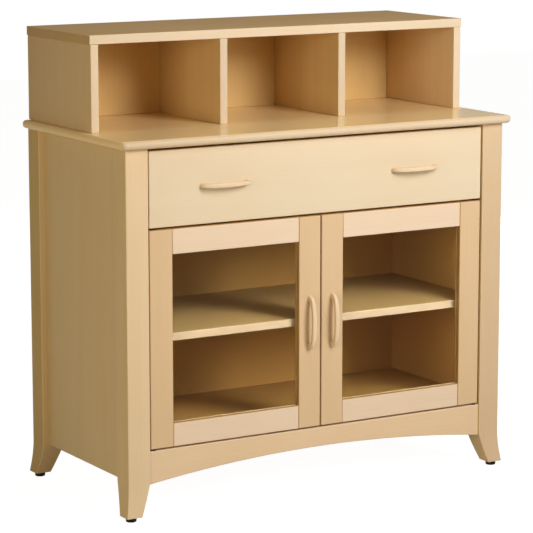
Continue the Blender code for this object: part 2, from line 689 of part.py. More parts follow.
def door(side_name, side):
    pivot = axis_empty(f"door_{side_name}_pivot", (side * PIVOT_X, PIVOT_Y, DOOR_LOW))
    prefix = f"door_{side_name}_"
    pane_x = spread(side, OPEN_INNER - GLASS_BITE, OPEN_OUTER + GLASS_BITE)
    board(
        prefix + "glass",
        (pane_x[0], FACE_FRONT + GLASS_SETBACK, OPEN_LOW - GLASS_BITE),
        (pane_x[1], FACE_FRONT + GLASS_SETBACK + GLASS_THICKNESS, OPEN_HIGH + GLASS_BITE),
        GLASS,
        pivot,
        edge=0.0,
    )
    groove_x = spread(side, OPEN_INNER - GROOVE_DEPTH, OPEN_OUTER + GROOVE_DEPTH)
    stile_groove = block(
        prefix + "stile_groove",
        (groove_x[0], GROOVE_FRONT, DOOR_LOW - CUT_OVER),
        (groove_x[1], GROOVE_BACK, DOOR_HIGH + CUT_OVER),
        pivot,
    )
    for stile, near, far in (
        ("meeting_stile", DOOR_INNER, OPEN_INNER),
        ("hinge_stile", OPEN_OUTER, DOOR_OUTER),
    ):
        xs = spread(side, near, far)
        obj = board(
            prefix + stile, (xs[0], FACE_FRONT, DOOR_LOW), (xs[1], FACE_BACK, DOOR_HIGH), MAPLE, pivot
        )
        combine(obj, stile_groove, "DIFFERENCE")
        if stile == "hinge_stile":
            depth = PIN_REACH + REVEAL
            for end_name, low, high in (
                ("low", DOOR_LOW - CUT_OVER, DOOR_LOW + depth),
                ("high", DOOR_HIGH - depth, DOOR_HIGH + CUT_OVER),
            ):
                hole = peg(
                    f"{prefix}pin_hole_{end_name}", PIN_RADIUS + PIN_CLEARANCE, low, high,
                    side * PIVOT_X, PIVOT_Y, pivot,
                )
                combine(obj, hole, "DIFFERENCE")

    rail_groove = block(
        prefix + "rail_groove",
        (groove_x[0] - CUT_OVER, GROOVE_FRONT, OPEN_LOW - GROOVE_DEPTH),
        (groove_x[1] + CUT_OVER, GROOVE_BACK, OPEN_HIGH + GROOVE_DEPTH),
        pivot,
    )
    rail_x = spread(side, OPEN_INNER + FIT, OPEN_OUTER - FIT)
    for rail, low, high in (
        ("bottom_rail", DOOR_LOW, OPEN_LOW),
        ("top_rail", OPEN_HIGH, DOOR_HIGH),
    ):
        obj = board(
            prefix + rail, (rail_x[0], FACE_FRONT, low), (rail_x[1], FACE_BACK, high), MAPLE_RAIL, pivot
        )
        tongue = block(
            f"{prefix}{rail}_tongue",
            (groove_x[0] + FIT, GROOVE_FRONT + FIT, low + EDGE),
            (groove_x[1] - FIT, GROOVE_BACK - FIT, high - EDGE),
            pivot,
        )
        combine(obj, tongue, "UNION")
        combine(obj, rail_groove, "DIFFERENCE")

    pull_at = (side * (DOOR_INNER + DOOR_MEMBER / 2), FACE_FRONT - FIT, DOOR_PULL_HEIGHT)
    bow_pull(prefix + "pull", pull_at, True, pivot)


def pivot_pin(side_name, side):
    """The lower pivot: a pin standing in the rail, with a collar that the door turns on."""
    profile = [
        (0.0, REVEAL + PIN_REACH),
        (PIN_RADIUS, REVEAL + PIN_REACH),
        (PIN_RADIUS, REVEAL - FIT),
        (PIN_COLLAR, REVEAL - FIT),
        (PIN_COLLAR, FIT),
        (PIN_RADIUS, FIT),
        (PIN_RADIUS, -PIN_ROOT),
        (0.0, -PIN_ROOT),
    ]
    turned(f"pivot_pin_{side_name}", profile, (side * PIVOT_X, PIVOT_Y, RAIL_TOP), STEEL)


def pivot_plate(side_name, side):
    """The upper pivot: a plate on the divider's front edge, with a pin down into the door."""
    xs = spread(side, PIVOT_X - PLATE_HALF_WIDTH, PIVOT_X + PLATE_HALF_WIDTH)
    low = DRAWER_SPLIT - PLATE_THICKNESS / 2
    back = CASE_FRONT - FIT
    plate = board(
        f"pivot_plate_{side_name}",
        (xs[0], PIVOT_Y - PLATE_LIP, low),
        (xs[1], back, low + PLATE_THICKNESS),
        STEEL,
        edge=0.0,
    )
    tab = block(
        f"pivot_plate_tab_{side_name}",
        (xs[0], back - PLATE_THICKNESS, low),
        (xs[1], back, low + PLATE_TAB_HEIGHT),
    )
    pin = peg(
        f"pivot_plate_pin_{side_name}", PIN_RADIUS, DOOR_HIGH - PIN_REACH, low + PLATE_THICKNESS / 2,
        side * PIVOT_X, PIVOT_Y,
    )
    combine(plate, tab, "UNION")
    combine(plate, pin, "UNION")


def door_catch(side_name, side):
    """A magnetic catch under the drawer divider, which the closed door rests against."""
    xs = spread(side, CATCH_INSET, CATCH_INSET + CATCH_SIZE.x)
    front = FACE_BACK + FIT
    high = DIVIDER_LOW - FIT
    board(
        f"door_catch_{side_name}",
        (xs[0], front, high - CATCH_SIZE.z),
        (xs[1], front + CATCH_SIZE.y, high),
        NYLON,
    )


for side_name, side in SIDES.items():
    door(side_name, side)
    pivot_pin(side_name, side)
    pivot_plate(side_name, side)
    door_catch(side_name, side)
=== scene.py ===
"""Looks of a maple sideboard: a panelled cabinet on flared posts, with a wide drawer over two glazed
doors, and a hutch of three open cubbies on its worktop. Metres, +Z up, the front faces -Y.
"""

import bpy
import numpy as np
from mathutils import Matrix, Vector


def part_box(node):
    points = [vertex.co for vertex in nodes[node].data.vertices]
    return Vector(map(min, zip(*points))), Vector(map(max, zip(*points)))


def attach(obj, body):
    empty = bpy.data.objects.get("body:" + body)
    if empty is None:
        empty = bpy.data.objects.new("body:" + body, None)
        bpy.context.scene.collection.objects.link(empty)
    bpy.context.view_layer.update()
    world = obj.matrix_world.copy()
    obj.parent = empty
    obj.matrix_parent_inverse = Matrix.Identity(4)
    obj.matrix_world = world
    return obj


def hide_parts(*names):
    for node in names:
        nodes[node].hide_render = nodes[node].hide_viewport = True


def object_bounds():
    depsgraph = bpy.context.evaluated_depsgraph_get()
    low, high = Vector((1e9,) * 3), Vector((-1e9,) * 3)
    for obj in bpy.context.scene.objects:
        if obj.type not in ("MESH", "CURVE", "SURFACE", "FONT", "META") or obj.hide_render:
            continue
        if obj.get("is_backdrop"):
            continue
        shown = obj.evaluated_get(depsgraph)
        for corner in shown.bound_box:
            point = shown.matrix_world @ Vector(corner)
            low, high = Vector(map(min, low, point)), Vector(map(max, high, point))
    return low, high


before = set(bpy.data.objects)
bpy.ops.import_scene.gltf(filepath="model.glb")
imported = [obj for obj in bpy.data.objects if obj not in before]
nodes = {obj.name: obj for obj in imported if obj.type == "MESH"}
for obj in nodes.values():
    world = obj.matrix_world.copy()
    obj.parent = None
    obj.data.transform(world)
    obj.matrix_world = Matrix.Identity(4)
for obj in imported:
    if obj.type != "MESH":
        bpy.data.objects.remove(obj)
cad_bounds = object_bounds()

# Posts
# Four square posts of solid maple, sawn to a taper and swept outwards at the foot. Their sideways faces are
# painted more golden than the faces that look along Y, as painted shade, and the back pair is painted
# browner, as painted shade; the faces of the right front post are a little darker, as painted shade. The
# case boards are dowelled and glued between them, and each foot is drilled from below for the stem of its
# glide.
SIDES = {"left": -1, "right": 1}
ENDS = {"front": -1, "back": 1}
POST_SIZE = 0.055
FOOT_TOP = 0.086
FOOT_WIDTH = 0.038
FOOT_FLARE = 0.0075
FLARE_CURVE = 1.7
TAPER_CURVE = 1.2
POST_ROUND = 0.0022
FOOT_EASE = 0.0008
BORE_RADIUS = 0.0043
BORE_DEPTH = 0.028
CORNER_POINTS = 7
FOOT_ROWS = 25
CREASE = np.radians(32)
# Painted shade: the first tones, on the sideways faces, are more golden, and browner on the back posts; the
# face tones are darker on the right post.
POST_SHADED_SIDE_WOOD = {"front": ("E0C592", "D0AF78"), "back": ("D3B67E", "C4A367")}
POST_SHINE = {"front": 0.12, "back": 0.04}
FRONT_FACE_WOOD = {"left": ("E0C9A8", "D2B48C"), "right": ("D4BC9C", "C6A681")}
BACK_FACE_WOOD = ("E6CDA2", "D8B888")
POST_LOG = Vector((0.31, 0.26, 0.0))
POST_LOG_SIDE = Vector((0.17, 0.0, 0.5))
POST_LOG_END = Vector((0.0, 0.11, 0.2))


def linear(text):
    """An sRGB hex colour as linear red, green, blue and full alpha, by the sRGB curve."""
    value = np.array([int(text[i : i + 2], 16) for i in (0, 2, 4)]) / 255
    value = np.where(value <= 0.04045, value / 12.92, ((value + 0.055) / 1.055) ** 2.4)
    return (*value.tolist(), 1.0)


def add_node(tree, kind, inputs=None, **settings):
    """A new node: settings are its own properties, and inputs gives each socket a value or a link."""
    made = tree.nodes.new(kind)
    for key, value in settings.items():
        setattr(made, key, value)
    for key, value in (inputs or {}).items():
        if isinstance(value, bpy.types.NodeSocket):
            tree.links.new(value, made.inputs[key])
        else:
            made.inputs[key].default_value = value
    return made


def new_material(name):
    """An empty material with its tree and its Principled shader already at the output."""
    material = bpy.data.materials.new(name)
    material.use_nodes = True
    tree = material.node_tree
    return material, tree, tree.nodes["Principled BSDF"]


RING_WIDTH = 0.009
RING_RUN = 16.0
RING_WAVER = 5.0
RING_WAVER_SCALE = 0.6
RING_WAVER_ROUGHNESS = 0.55
WAVE_PERIOD = 0.314
FIBRE_WIDTH = 0.0026
FIBRE_RUN = 26.0
FIBRE_DETAIL = 3.0
FIBRE_ROUGHNESS = 0.6
FLECK_WIDTH = 0.0045
FLECK_FROM, FLECK_FULL, FLECK_DEPTH = 0.60, 0.74, 0.07
FLECK_TONE = "B08A55"
MOTTLE_SIZE = 0.034
PATCH_SIZE = 0.30
SOFT_DETAIL = 2.0
RING_SHARE, FIBRE_SHARE, MOTTLE_SHARE, PATCH_SHARE = 0.10, 0.16, 0.40, 0.60
GRAIN_RELIEF = 0.000015
ARRIS_FROM, ARRIS_FULL = 0.96, 0.74
ARRIS_WEAR = 0.35
ARRIS_TONE = "F3E2C6"
EDGE_FACING = 0.45
TOP_FACING = 0.97
SATIN = 0.42
SATIN_DRIFT = 0.05
SATIN_FROM, SATIN_TO = 0.3, 0.7
SATIN_SHINE = 0.12


def lacquered_maple(
    name, grain, place, wood, lipping_and_painted_light=None, polish=None, shine=SATIN_SHINE, arris=ARRIS_WEAR, lined=None
):
    """Maple, planed and sprayed with clear lacquer: pale, close grained and quiet. Growth rings are faint
    broad lines along the board, fibres make fine streaks, short flecks lie among them, and the tone drifts
    in clouds. Real rings are 2 to 3 mm and fibres under 0.5 mm, so both are drawn coarser, to show.

    grain is the axis that the fibres follow, and place is where in the log the board was cut. The second
    tones go on the faces that look along Y, or else on the faces that look the lined way: on some boards a
    solid edge strip's own tones, on others painted light, as painted shade where those faces lie in shade
    and as a painted sheen on the worktop's nose. polish is the roughness of a top face that is rubbed to a
    gloss, while the other faces keep the satin lacquer.
    arris is how pale the rounded edges are rubbed.
    """
    material, tree, shader = new_material(name)
    spot = add_node(tree, "ShaderNodeTexCoord")
    length = [1.0, 1.0, 1.0]
    length[grain] = 1 / RING_RUN
    log = add_node(
        tree, "ShaderNodeMapping", {"Vector": spot.outputs["Object"], "Location": place, "Scale": length}
    )
    length[grain] = 1 / FIBRE_RUN
    sliver = add_node(
        tree, "ShaderNodeMapping", {"Vector": spot.outputs["Object"], "Location": place, "Scale": length}
    )
    rings = add_node(
        tree,
        "ShaderNodeTexWave",
        {
            "Vector": log.outputs["Vector"],
            "Scale": WAVE_PERIOD / RING_WIDTH,
            "Distortion": RING_WAVER,
            "Detail": SOFT_DETAIL,
            "Detail Scale": RING_WAVER_SCALE,
            "Detail Roughness": RING_WAVER_ROUGHNESS,
        },
        wave_type="RINGS",
        rings_direction="XYZ"[grain],
        wave_profile="SAW",
    )
    fibres, flecks = (
        add_node(
            tree,
            "ShaderNodeTexNoise",
            {
                "Vector": sliver.outputs["Vector"],
                "Scale": 1 / size,
                "Detail": FIBRE_DETAIL,
                "Roughness": FIBRE_ROUGHNESS,
            },
        )
        for size in (FIBRE_WIDTH, FLECK_WIDTH)
    )
    mottle, patches = (
        add_node(
            tree,
            "ShaderNodeTexNoise",
            {"Vector": where, "Scale": 1 / size, "Detail": SOFT_DETAIL},
        )
        for where, size in ((log.outputs["Vector"], MOTTLE_SIZE), (spot.outputs["Object"], PATCH_SIZE))
    )
    tone = 0.0
    for pattern, share in (
        (rings, RING_SHARE),
        (fibres, FIBRE_SHARE),
        (mottle, MOTTLE_SHARE),
        (patches, PATCH_SHARE),
    ):
        centred = add_node(
            tree, "ShaderNodeMath", {0: pattern.outputs["Fac"], 1: 0.5}, operation="SUBTRACT"
        )
        tone = add_node(
            tree, "ShaderNodeMath", {0: centred.outputs[0], 1: share, 2: tone}, operation="MULTIPLY_ADD"
        ).outputs[0]
    level = add_node(tree, "ShaderNodeMath", {0: tone, 1: 0.5}, operation="ADD", use_clamp=True)
    facing = add_node(
        tree, "ShaderNodeVectorMath", {0: spot.outputs["Normal"]}, operation="ABSOLUTE"
    )
    parts = add_node(tree, "ShaderNodeSeparateXYZ", {"Vector": facing.outputs["Vector"]})
    # The second tones: on some boards a solid edge strip's own, on others painted shade, and on the
    # worktop's nose a painted sheen.
    colour, edge_colour = (
        add_node(
            tree,
            "ShaderNodeMix",
            {"Factor": level.outputs[0], "A": linear(pale), "B": linear(dark)},
            data_type="RGBA",
        )
        for pale, dark in (wood, lipping_and_painted_light or wood)
    )
    edge_facing = parts.outputs["Y"]
    if lined:
        edge_facing = add_node(
            tree, "ShaderNodeVectorMath", {0: spot.outputs["Normal"], 1: lined}, operation="DOT_PRODUCT"
        ).outputs["Value"]
    on_edge = add_node(
        tree, "ShaderNodeMath", {0: edge_facing, 1: EDGE_FACING}, operation="GREATER_THAN"
    )
    colour = add_node(
        tree,
        "ShaderNodeMix",
        {
            "Factor": on_edge.outputs[0],
            "A": colour.outputs["Result"],
            "B": edge_colour.outputs["Result"],
        },
        data_type="RGBA",
    )
    fleck = add_node(
        tree,
        "ShaderNodeMapRange",
        {
            "Value": flecks.outputs["Fac"],
            "From Min": FLECK_FROM,
            "From Max": FLECK_FULL,
            "To Min": 0.0,
            "To Max": FLECK_DEPTH,
        },
    )
    colour = add_node(
        tree,
        "ShaderNodeMix",
        {"Factor": fleck.outputs["Result"], "A": colour.outputs["Result"], "B": linear(FLECK_TONE)},
        data_type="RGBA",
    )
    wider = add_node(
        tree, "ShaderNodeMath", {0: parts.outputs["X"], 1: parts.outputs["Y"]}, operation="MAXIMUM"
    )
    widest = add_node(
        tree, "ShaderNodeMath", {0: wider.outputs[0], 1: parts.outputs["Z"]}, operation="MAXIMUM"
    )
    worn = add_node(
        tree,
        "ShaderNodeMapRange",
        {
            "Value": widest.outputs[0],
            "From Min": ARRIS_FROM,
            "From Max": ARRIS_FULL,
            "To Min": 0.0,
            "To Max": arris,
        },
    )
    colour = add_node(
        tree,
        "ShaderNodeMix",
        {"Factor": worn.outputs["Result"], "A": colour.outputs["Result"], "B": linear(ARRIS_TONE)},
        data_type="RGBA",
    )
    sheen = add_node(
        tree,
        "ShaderNodeMapRange",
        {
            "Value": fibres.outputs["Fac"],
            "From Min": SATIN_FROM,
            "From Max": SATIN_TO,
            "To Min": SATIN - SATIN_DRIFT,
            "To Max": SATIN + SATIN_DRIFT,
        },
    )
    roughness = sheen.outputs["Result"]
    if polish:
        on_top = add_node(
            tree, "ShaderNodeMath", {0: parts.outputs["Z"], 1: TOP_FACING}, operation="GREATER_THAN"
        )
        roughness = add_node(
            tree, "ShaderNodeMix", {"Factor": on_top.outputs[0], "A": roughness, "B": polish}
        ).outputs["Result"]
    relief = add_node(
        tree,
        "ShaderNodeBump",
        {"Height": fibres.outputs["Fac"], "Distance": GRAIN_RELIEF, "Strength": 1.0},
    )
    tree.links.new(colour.outputs["Result"], shader.inputs["Base Color"])
    tree.links.new(roughness, shader.inputs["Roughness"])
    shader.inputs["Specular IOR Level"].default_value = shine
    tree.links.new(relief.outputs["Normal"], shader.inputs["Normal"])
    return material


def corner_arcs(points):
    """The four quarter turns of a rounded rectangle: each column's angle, and its corner's X and Y sign."""
    turn = (np.arange(4)[:, None] + np.linspace(0, 1, points)) * np.pi / 2
    return turn.ravel(), np.repeat([1, -1, -1, 1], points), np.repeat([1, 1, -1, -1], points)


def skin(name, solids, material, crease=CREASE):
    """A mesh of closed skins from points (solid, row, column, xyz). A face joins two neighbours in a row to
    the same two in the next row, the columns close round, and a fan to its mean point closes each end row.
    A skin whose signed volume is negative is turned right side out.
    """
    count, rows, around = solids.shape[:3]
    ends = solids[:, [0, -1]].mean(axis=2)
    points = np.concatenate([solids.reshape(count, -1, 3), ends], axis=1)
    row, column = np.divmod(np.arange((rows - 1) * around), around)
    here = row * around + column
    beside = row * around + (column + 1) % around
    quads = np.stack([here, beside, beside + around, here + around], axis=1)
    rim = np.arange(around)
    after = (rim + 1) % around
    last = (rows - 1) * around
    first_fan = np.stack([after, rim, np.full(around, rows * around)], axis=1)
    last_fan = np.stack([last + rim, last + after, np.full(around, rows * around + 1)], axis=1)
    corners = np.concatenate([quads[:, [0, 1, 2]], quads[:, [0, 2, 3]], first_fan, last_fan])
    a, b, c = (points[:, corners[:, i]] for i in range(3))
    inside_out = np.einsum("sij,sij->s", a, np.cross(b, c)) < 0
    faces = []
    for index in range(count):
        step = -1 if inside_out[index] else 1
        start = index * points.shape[1]
        for part in (quads, first_fan, last_fan):
            faces += (part[:, ::step] + start).tolist()
    mesh = bpy.data.meshes.new(name)
    mesh.from_pydata(points.reshape(-1, 3).tolist(), [], faces)
    mesh.shade_smooth()
    mesh.set_sharp_from_angle(angle=crease)
    mesh.materials.append(material)
    obj = bpy.data.objects.new(name, mesh)
    bpy.context.scene.collection.objects.link(obj)
    return obj


def post_points(low, high, side, end):
    """Rows of a post from its top to its foot, then up its bore. Each row is a rounded square; below
    FOOT_TOP both outer faces move out and both inner faces move in, each by a power of the way down.
    """
    turn, corner_x, corner_y = corner_arcs(CORNER_POINTS)
    foot_z = np.linspace(FOOT_TOP, low.z + FOOT_EASE, FOOT_ROWS)
    z = np.concatenate([[high.z], foot_z, [low.z]])[:, None]
    inset = np.zeros_like(z)
    inset[-1] = FOOT_EASE
    down = np.clip(FOOT_TOP - z, 0, None) / (FOOT_TOP - low.z)
    outer = -FOOT_FLARE * down**FLARE_CURVE + inset
    inner = POST_SIZE - (POST_SIZE - FOOT_WIDTH + FOOT_FLARE) * down**TAPER_CURVE - inset
    middle, half = (outer + inner) / 2, (inner - outer) / 2
    across = middle + (half - POST_ROUND) * corner_x + POST_ROUND * np.cos(turn)
    along = middle + (half - POST_ROUND) * corner_y + POST_ROUND * np.sin(turn)
    bore_turn = (np.arange(turn.size) + 0.5) * 2 * np.pi / turn.size
    bore = np.stack([np.cos(bore_turn), np.sin(bore_turn)]) * BORE_RADIUS + middle[-1]
    across = np.concatenate([across, [bore[0], bore[0]]])
    along = np.concatenate([along, [bore[1], bore[1]]])
    heights = np.concatenate([z[:, 0], [low.z, low.z + BORE_DEPTH]])
    x_face = (low.x + FOOT_FLARE) if side < 0 else (high.x - FOOT_FLARE)
    y_face = (low.y + FOOT_FLARE) if end < 0 else (high.y - FOOT_FLARE)
    upright = np.broadcast_to(heights[:, None], across.shape)
    return np.stack([x_face - side * across, y_face - end * along, upright], axis=-1)


for end_name, end in ENDS.items():
    for side_name, side in SIDES.items():
        node = f"leg_{end_name}_{side_name}"
        cut_at = POST_LOG + side * POST_LOG_SIDE + end * POST_LOG_END
        wood = lacquered_maple(
            f"maple_post_{end_name}_{side_name}",
            2,
            cut_at,
            POST_SHADED_SIDE_WOOD[end_name],
            FRONT_FACE_WOOD[side_name] if end_name == "front" else BACK_FACE_WOOD,
            shine=POST_SHINE[end_name],
        )
        post = skin(f"post_{end_name}_{side_name}", post_points(*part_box(node), side, end)[None], wood)
        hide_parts(node)
        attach(post, "cabinet")

# Levelling glides
# A black nylon disc under each post, moulded on a threaded stem that screws up into the foot, so that the
# cabinet can be levelled. The moulded skin is finely grained and matt, its roughness varying with the
# grain.
GLIDE_RADIUS = 0.012
GLIDE_BASE = 0.008
GLIDE_ROUND = 0.0022
GLIDE_NECK = 0.0075
NECK_FILLET = 0.0012
STEM_RADIUS = 0.004
STEM_RISE = 0.026
FOOT_GAP = 0.0003
ROUND_POINTS = 40
QUARTER_POINTS = 5
NYLON_GRIT = 0.0016
NYLON_TONES = ("060606", "121211")
NYLON_DULL = (0.38, 0.56)
NYLON_SHINE = 0.15


def moulded_nylon(name):
    """Black nylon from a spark-eroded mould: a fine matt grain, drawn coarser than its real 0.2 mm."""
    material, tree, shader = new_material(name)
    spot = add_node(tree, "ShaderNodeTexCoord")
    grit = add_node(
        tree,
        "ShaderNodeTexNoise",
        {"Vector": spot.outputs["Object"], "Scale": 1 / NYLON_GRIT, "Detail": SOFT_DETAIL},
    )
    colour = add_node(
        tree,
        "ShaderNodeMix",
        {"Factor": grit.outputs["Fac"], "A": linear(NYLON_TONES[0]), "B": linear(NYLON_TONES[1])},
        data_type="RGBA",
    )
    dull = add_node(
        tree,
        "ShaderNodeMapRange",
        {"Value": grit.outputs["Fac"], "To Min": NYLON_DULL[0], "To Max": NYLON_DULL[1]},
    )
    relief = add_node(
        tree, "ShaderNodeBump", {"Height": grit.outputs["Fac"], "Distance": GRAIN_RELIEF, "Strength": 1.0}
    )
    tree.links.new(colour.outputs["Result"], shader.inputs["Base Color"])
    tree.links.new(dull.outputs["Result"], shader.inputs["Roughness"])
    tree.links.new(relief.outputs["Normal"], shader.inputs["Normal"])
    shader.inputs["Specular IOR Level"].default_value = NYLON_SHINE
    return material


def turned(profile, middle, axis=2):
    """Rows of a turned piece: each (radius, height) of the profile carried round the axis."""
    radius, height = np.array(profile).T
    turn = np.linspace(0, 2 * np.pi, ROUND_POINTS, endpoint=False)
    round_x, round_y = radius[:, None] * np.cos(turn), radius[:, None] * np.sin(turn)
    rise = np.broadcast_to(height[:, None], round_x.shape)
    columns = {2: (round_x, round_y, rise), 1: (round_y, rise, round_x), 0: (rise, round_x, round_y)}
    return np.stack(columns[axis], axis=-1) + np.array(middle)


def quarter(radius, height, size, start):
    """Profile points of a quarter circle of this size round (radius, height), turning clockwise."""
    turn = np.radians(start) - np.linspace(0, np.pi / 2, QUARTER_POINTS)
    return list(zip(radius + size * np.cos(turn), height + size * np.sin(turn)))


nylon = moulded_nylon("moulded_black_nylon")
foot_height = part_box("leg_front_left")[0].z
glide_profile = [
    (STEM_RADIUS, foot_height + STEM_RISE),
    (STEM_RADIUS, foot_height - FOOT_GAP),
    (GLIDE_NECK, foot_height - FOOT_GAP),
    (GLIDE_NECK, GLIDE_BASE + NECK_FILLET),
    (GLIDE_NECK + NECK_FILLET, GLIDE_BASE),
    *quarter(GLIDE_RADIUS - GLIDE_ROUND, GLIDE_BASE - GLIDE_ROUND, GLIDE_ROUND, 90),
    *quarter(GLIDE_RADIUS - GLIDE_ROUND, GLIDE_ROUND, GLIDE_ROUND, 0),
]
for end_name in ENDS:
    for side_name in SIDES:
        node = f"glide_{end_name}_{side_name}"
        low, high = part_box(node)
        middle = ((low.x + high.x) / 2, (low.y + high.y) / 2, 0.0)
        glide = skin(f"levelling_{node}", turned(glide_profile, middle)[None], nylon)
        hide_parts(node)
        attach(glide, node)

# Case panels
# Side panels, back, bottom and drawer divider are veneered boards. The outer tone is golden, partly the
# veneer's own and partly painted shade. The faces that look into the case and the bottom are painted darker
# and more orange, as the shade inside the case, and the divider and stretchers, seen only through the gaps
# round the drawer, are painted dark brown, as the shade in those gaps. They are screwed and dowelled to the
# posts and to each other, with two stretchers at the top.
# The outer tone is golden, partly the veneer's own and partly painted shade; the inside faces and the
# bottom are painted darker and more orange as shade, and the parts seen only through the gaps dark brown as
# painted shade.
PANEL_WOOD = ("E0C592", "D0AF78")
PANEL_INSIDE_SHADE = ("D9A966", "CA9753")
CASE_INSIDE_SHADE = ("D09E59", "C48D47")
BOTTOM_SHADE_WOOD = ("BD9150", "B18241")
GAP_SHADE_WOOD = ("8F6B3C", "7E5C31")
PANEL_LOG = Vector((0.4, 0.3, 0.7))


def finish_node(node, material):
    """Give a CAD board its finish in its own material slot."""
    nodes[node].material_slots[0].material = material


for node, grain, wood, inside, lined in (
    ("side_panel_left", 2, PANEL_WOOD, PANEL_INSIDE_SHADE, (1, 0, 0)),
    ("side_panel_right", 2, PANEL_WOOD, PANEL_INSIDE_SHADE, (-1, 0, 0)),
    ("case_back_panel", 2, PANEL_WOOD, CASE_INSIDE_SHADE, (0, -1, 0)),
    ("bottom_panel", 0, BOTTOM_SHADE_WOOD, None, None),
    ("drawer_divider_panel", 0, GAP_SHADE_WOOD, None, None),
    ("top_stretcher_front", 0, GAP_SHADE_WOOD, None, None),
    ("top_stretcher_rear", 0, GAP_SHADE_WOOD, None, None),
):
    low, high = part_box(node)
    cut_at = PANEL_LOG + Vector((low.z, -low.x, low.y))
    veneer = lacquered_maple(f"maple_veneer_{node}", grain, cut_at, wood, inside, lined=lined)
    finish_node(node, veneer)

# Arched front rail
# A rail of solid maple between the front posts, its lower edge sawn to a long shallow arch and sanded. The
# doors close above it, and their lower pivot pins stand in its top edge.
RAIL_WOOD = ("E2C8A7", "D5B58F")
RAIL_CUT = (0.2, 0.37, 0.29)
finish_node("arched_front_rail", lacquered_maple("maple_arched_rail", 0, RAIL_CUT, RAIL_WOOD))

# Worktop
# One wide lacquered board, rounded in plan at its corners and nosed all round. It is screwed up from the
# stretchers, and its semi-gloss lacquer mirrors the foot of the hutch.
WORKTOP_NOSE = 0.009
WORKTOP_CORNER = 0.012
NOSE_ROWS = 9
FLAT_RIM = 0.002
# Painted light: the board is painted paler to light its dim top, and its nose faces that look along Y a
# paler grey, as a painted sheen.
WORKTOP_PAINTED_LIGHT = ("FBDCA4", "ECC88D")
NOSE_PAINTED_SHEEN = ("D6C1A7", "C8AE8C")
WORKTOP_POLISH = 0.13
WORKTOP_CUT = (0.15, 0.42, 0.33)


def nosed_board(low, high, nose, corner):
    """Rows of a board from its top face to its under face. A row is a rounded rectangle, drawn in by the
    nose radius less its cosine as the nose turns over; one more row at each end keeps the faces flat.
    """
    turn, corner_x, corner_y = corner_arcs(CORNER_POINTS)
    over = np.linspace(np.pi / 2, 0, NOSE_ROWS)
    drawn_in = nose * (1 - np.cos(over))
    height = high.z - nose * (1 - np.sin(over))
    inset = np.concatenate([[nose + FLAT_RIM], drawn_in, drawn_in[::-1], [nose + FLAT_RIM]])[:, None]
    z = np.concatenate([[high.z], height, low.z + high.z - height[::-1], [low.z]])[:, None]
    radius = np.maximum(corner - inset, corner - nose)
    half, middle = (high - low) / 2, (high + low) / 2
    x = middle.x + (half.x - inset - radius) * corner_x + radius * np.cos(turn)
    y = middle.y + (half.y - inset - radius) * corner_y + radius * np.sin(turn)
    return np.stack([x, y, np.broadcast_to(z, x.shape)], axis=-1)


worktop = skin(
    "nosed_worktop",
    nosed_board(*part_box("worktop"), WORKTOP_NOSE, WORKTOP_CORNER)[None],
    lacquered_maple("maple_worktop", 0, WORKTOP_CUT, WORKTOP_PAINTED_LIGHT, NOSE_PAINTED_SHEEN, WORKTOP_POLISH, arris=0.0),
)
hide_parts("worktop")
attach(worktop, "cabinet")

# Shelf and its pins
# A loose shelf across the whole case, notched round the front posts, with a lipping of solid maple on its
# front edge. It lies on four zinc-plated steel pins, which push into holes in the side panels.
# Painted shade: the shelf board is darker and more orange, as the shade inside the case.
SHELF_SHADE_WOOD = ("C29F68", "B68D57")
SHELF_LIPPING = ("CCAE94", "BF9E7C")
SHELF_CUT = (0.28, 0.35, 0.24)
STEEL_GRIT = 0.004
STEEL_DULL = (0.24, 0.44)
ZINC_TONES = ("A9ACB0", "C6C8C9")


def plated_steel(name, tones):
    """Pressed steel under a thin plating: lightly clouded between two tones, with a soft metal sheen."""
    material, tree, shader = new_material(name)
    spot = add_node(tree, "ShaderNodeTexCoord")
    bloom = add_node(
        tree,
        "ShaderNodeTexNoise",
        {"Vector": spot.outputs["Object"], "Scale": 1 / STEEL_GRIT, "Detail": FIBRE_DETAIL},
    )
    colour = add_node(
        tree,
        "ShaderNodeMix",
        {"Factor": bloom.outputs["Fac"], "A": linear(tones[0]), "B": linear(tones[1])},
        data_type="RGBA",
    )
    dull = add_node(
        tree,
        "ShaderNodeMapRange",
        {"Value": bloom.outputs["Fac"], "To Min": STEEL_DULL[0], "To Max": STEEL_DULL[1]},
    )
    tree.links.new(colour.outputs["Result"], shader.inputs["Base Color"])
    tree.links.new(dull.outputs["Result"], shader.inputs["Roughness"])
    shader.inputs["Metallic"].default_value = 1.0
    return material


steel = plated_steel("zinc_plated_steel", ZINC_TONES)
finish_node("shelf", lacquered_maple("maple_shelf", 0, SHELF_CUT, SHELF_SHADE_WOOD, SHELF_LIPPING))
for end_name in ENDS:
    for side_name in SIDES:
        finish_node(f"shelf_pin_{end_name}_{side_name}", steel)

# Hutch
# A top, two ends and two dividers of thick board with solid edges, round a thin back. They are glued and
# screwed into one unit, which stands on the worktop and has no bottom of its own.
HUTCH_EASE = 0.0016
GLUE_GAP = 0.00025
HUTCH_CORNER = 0.0019
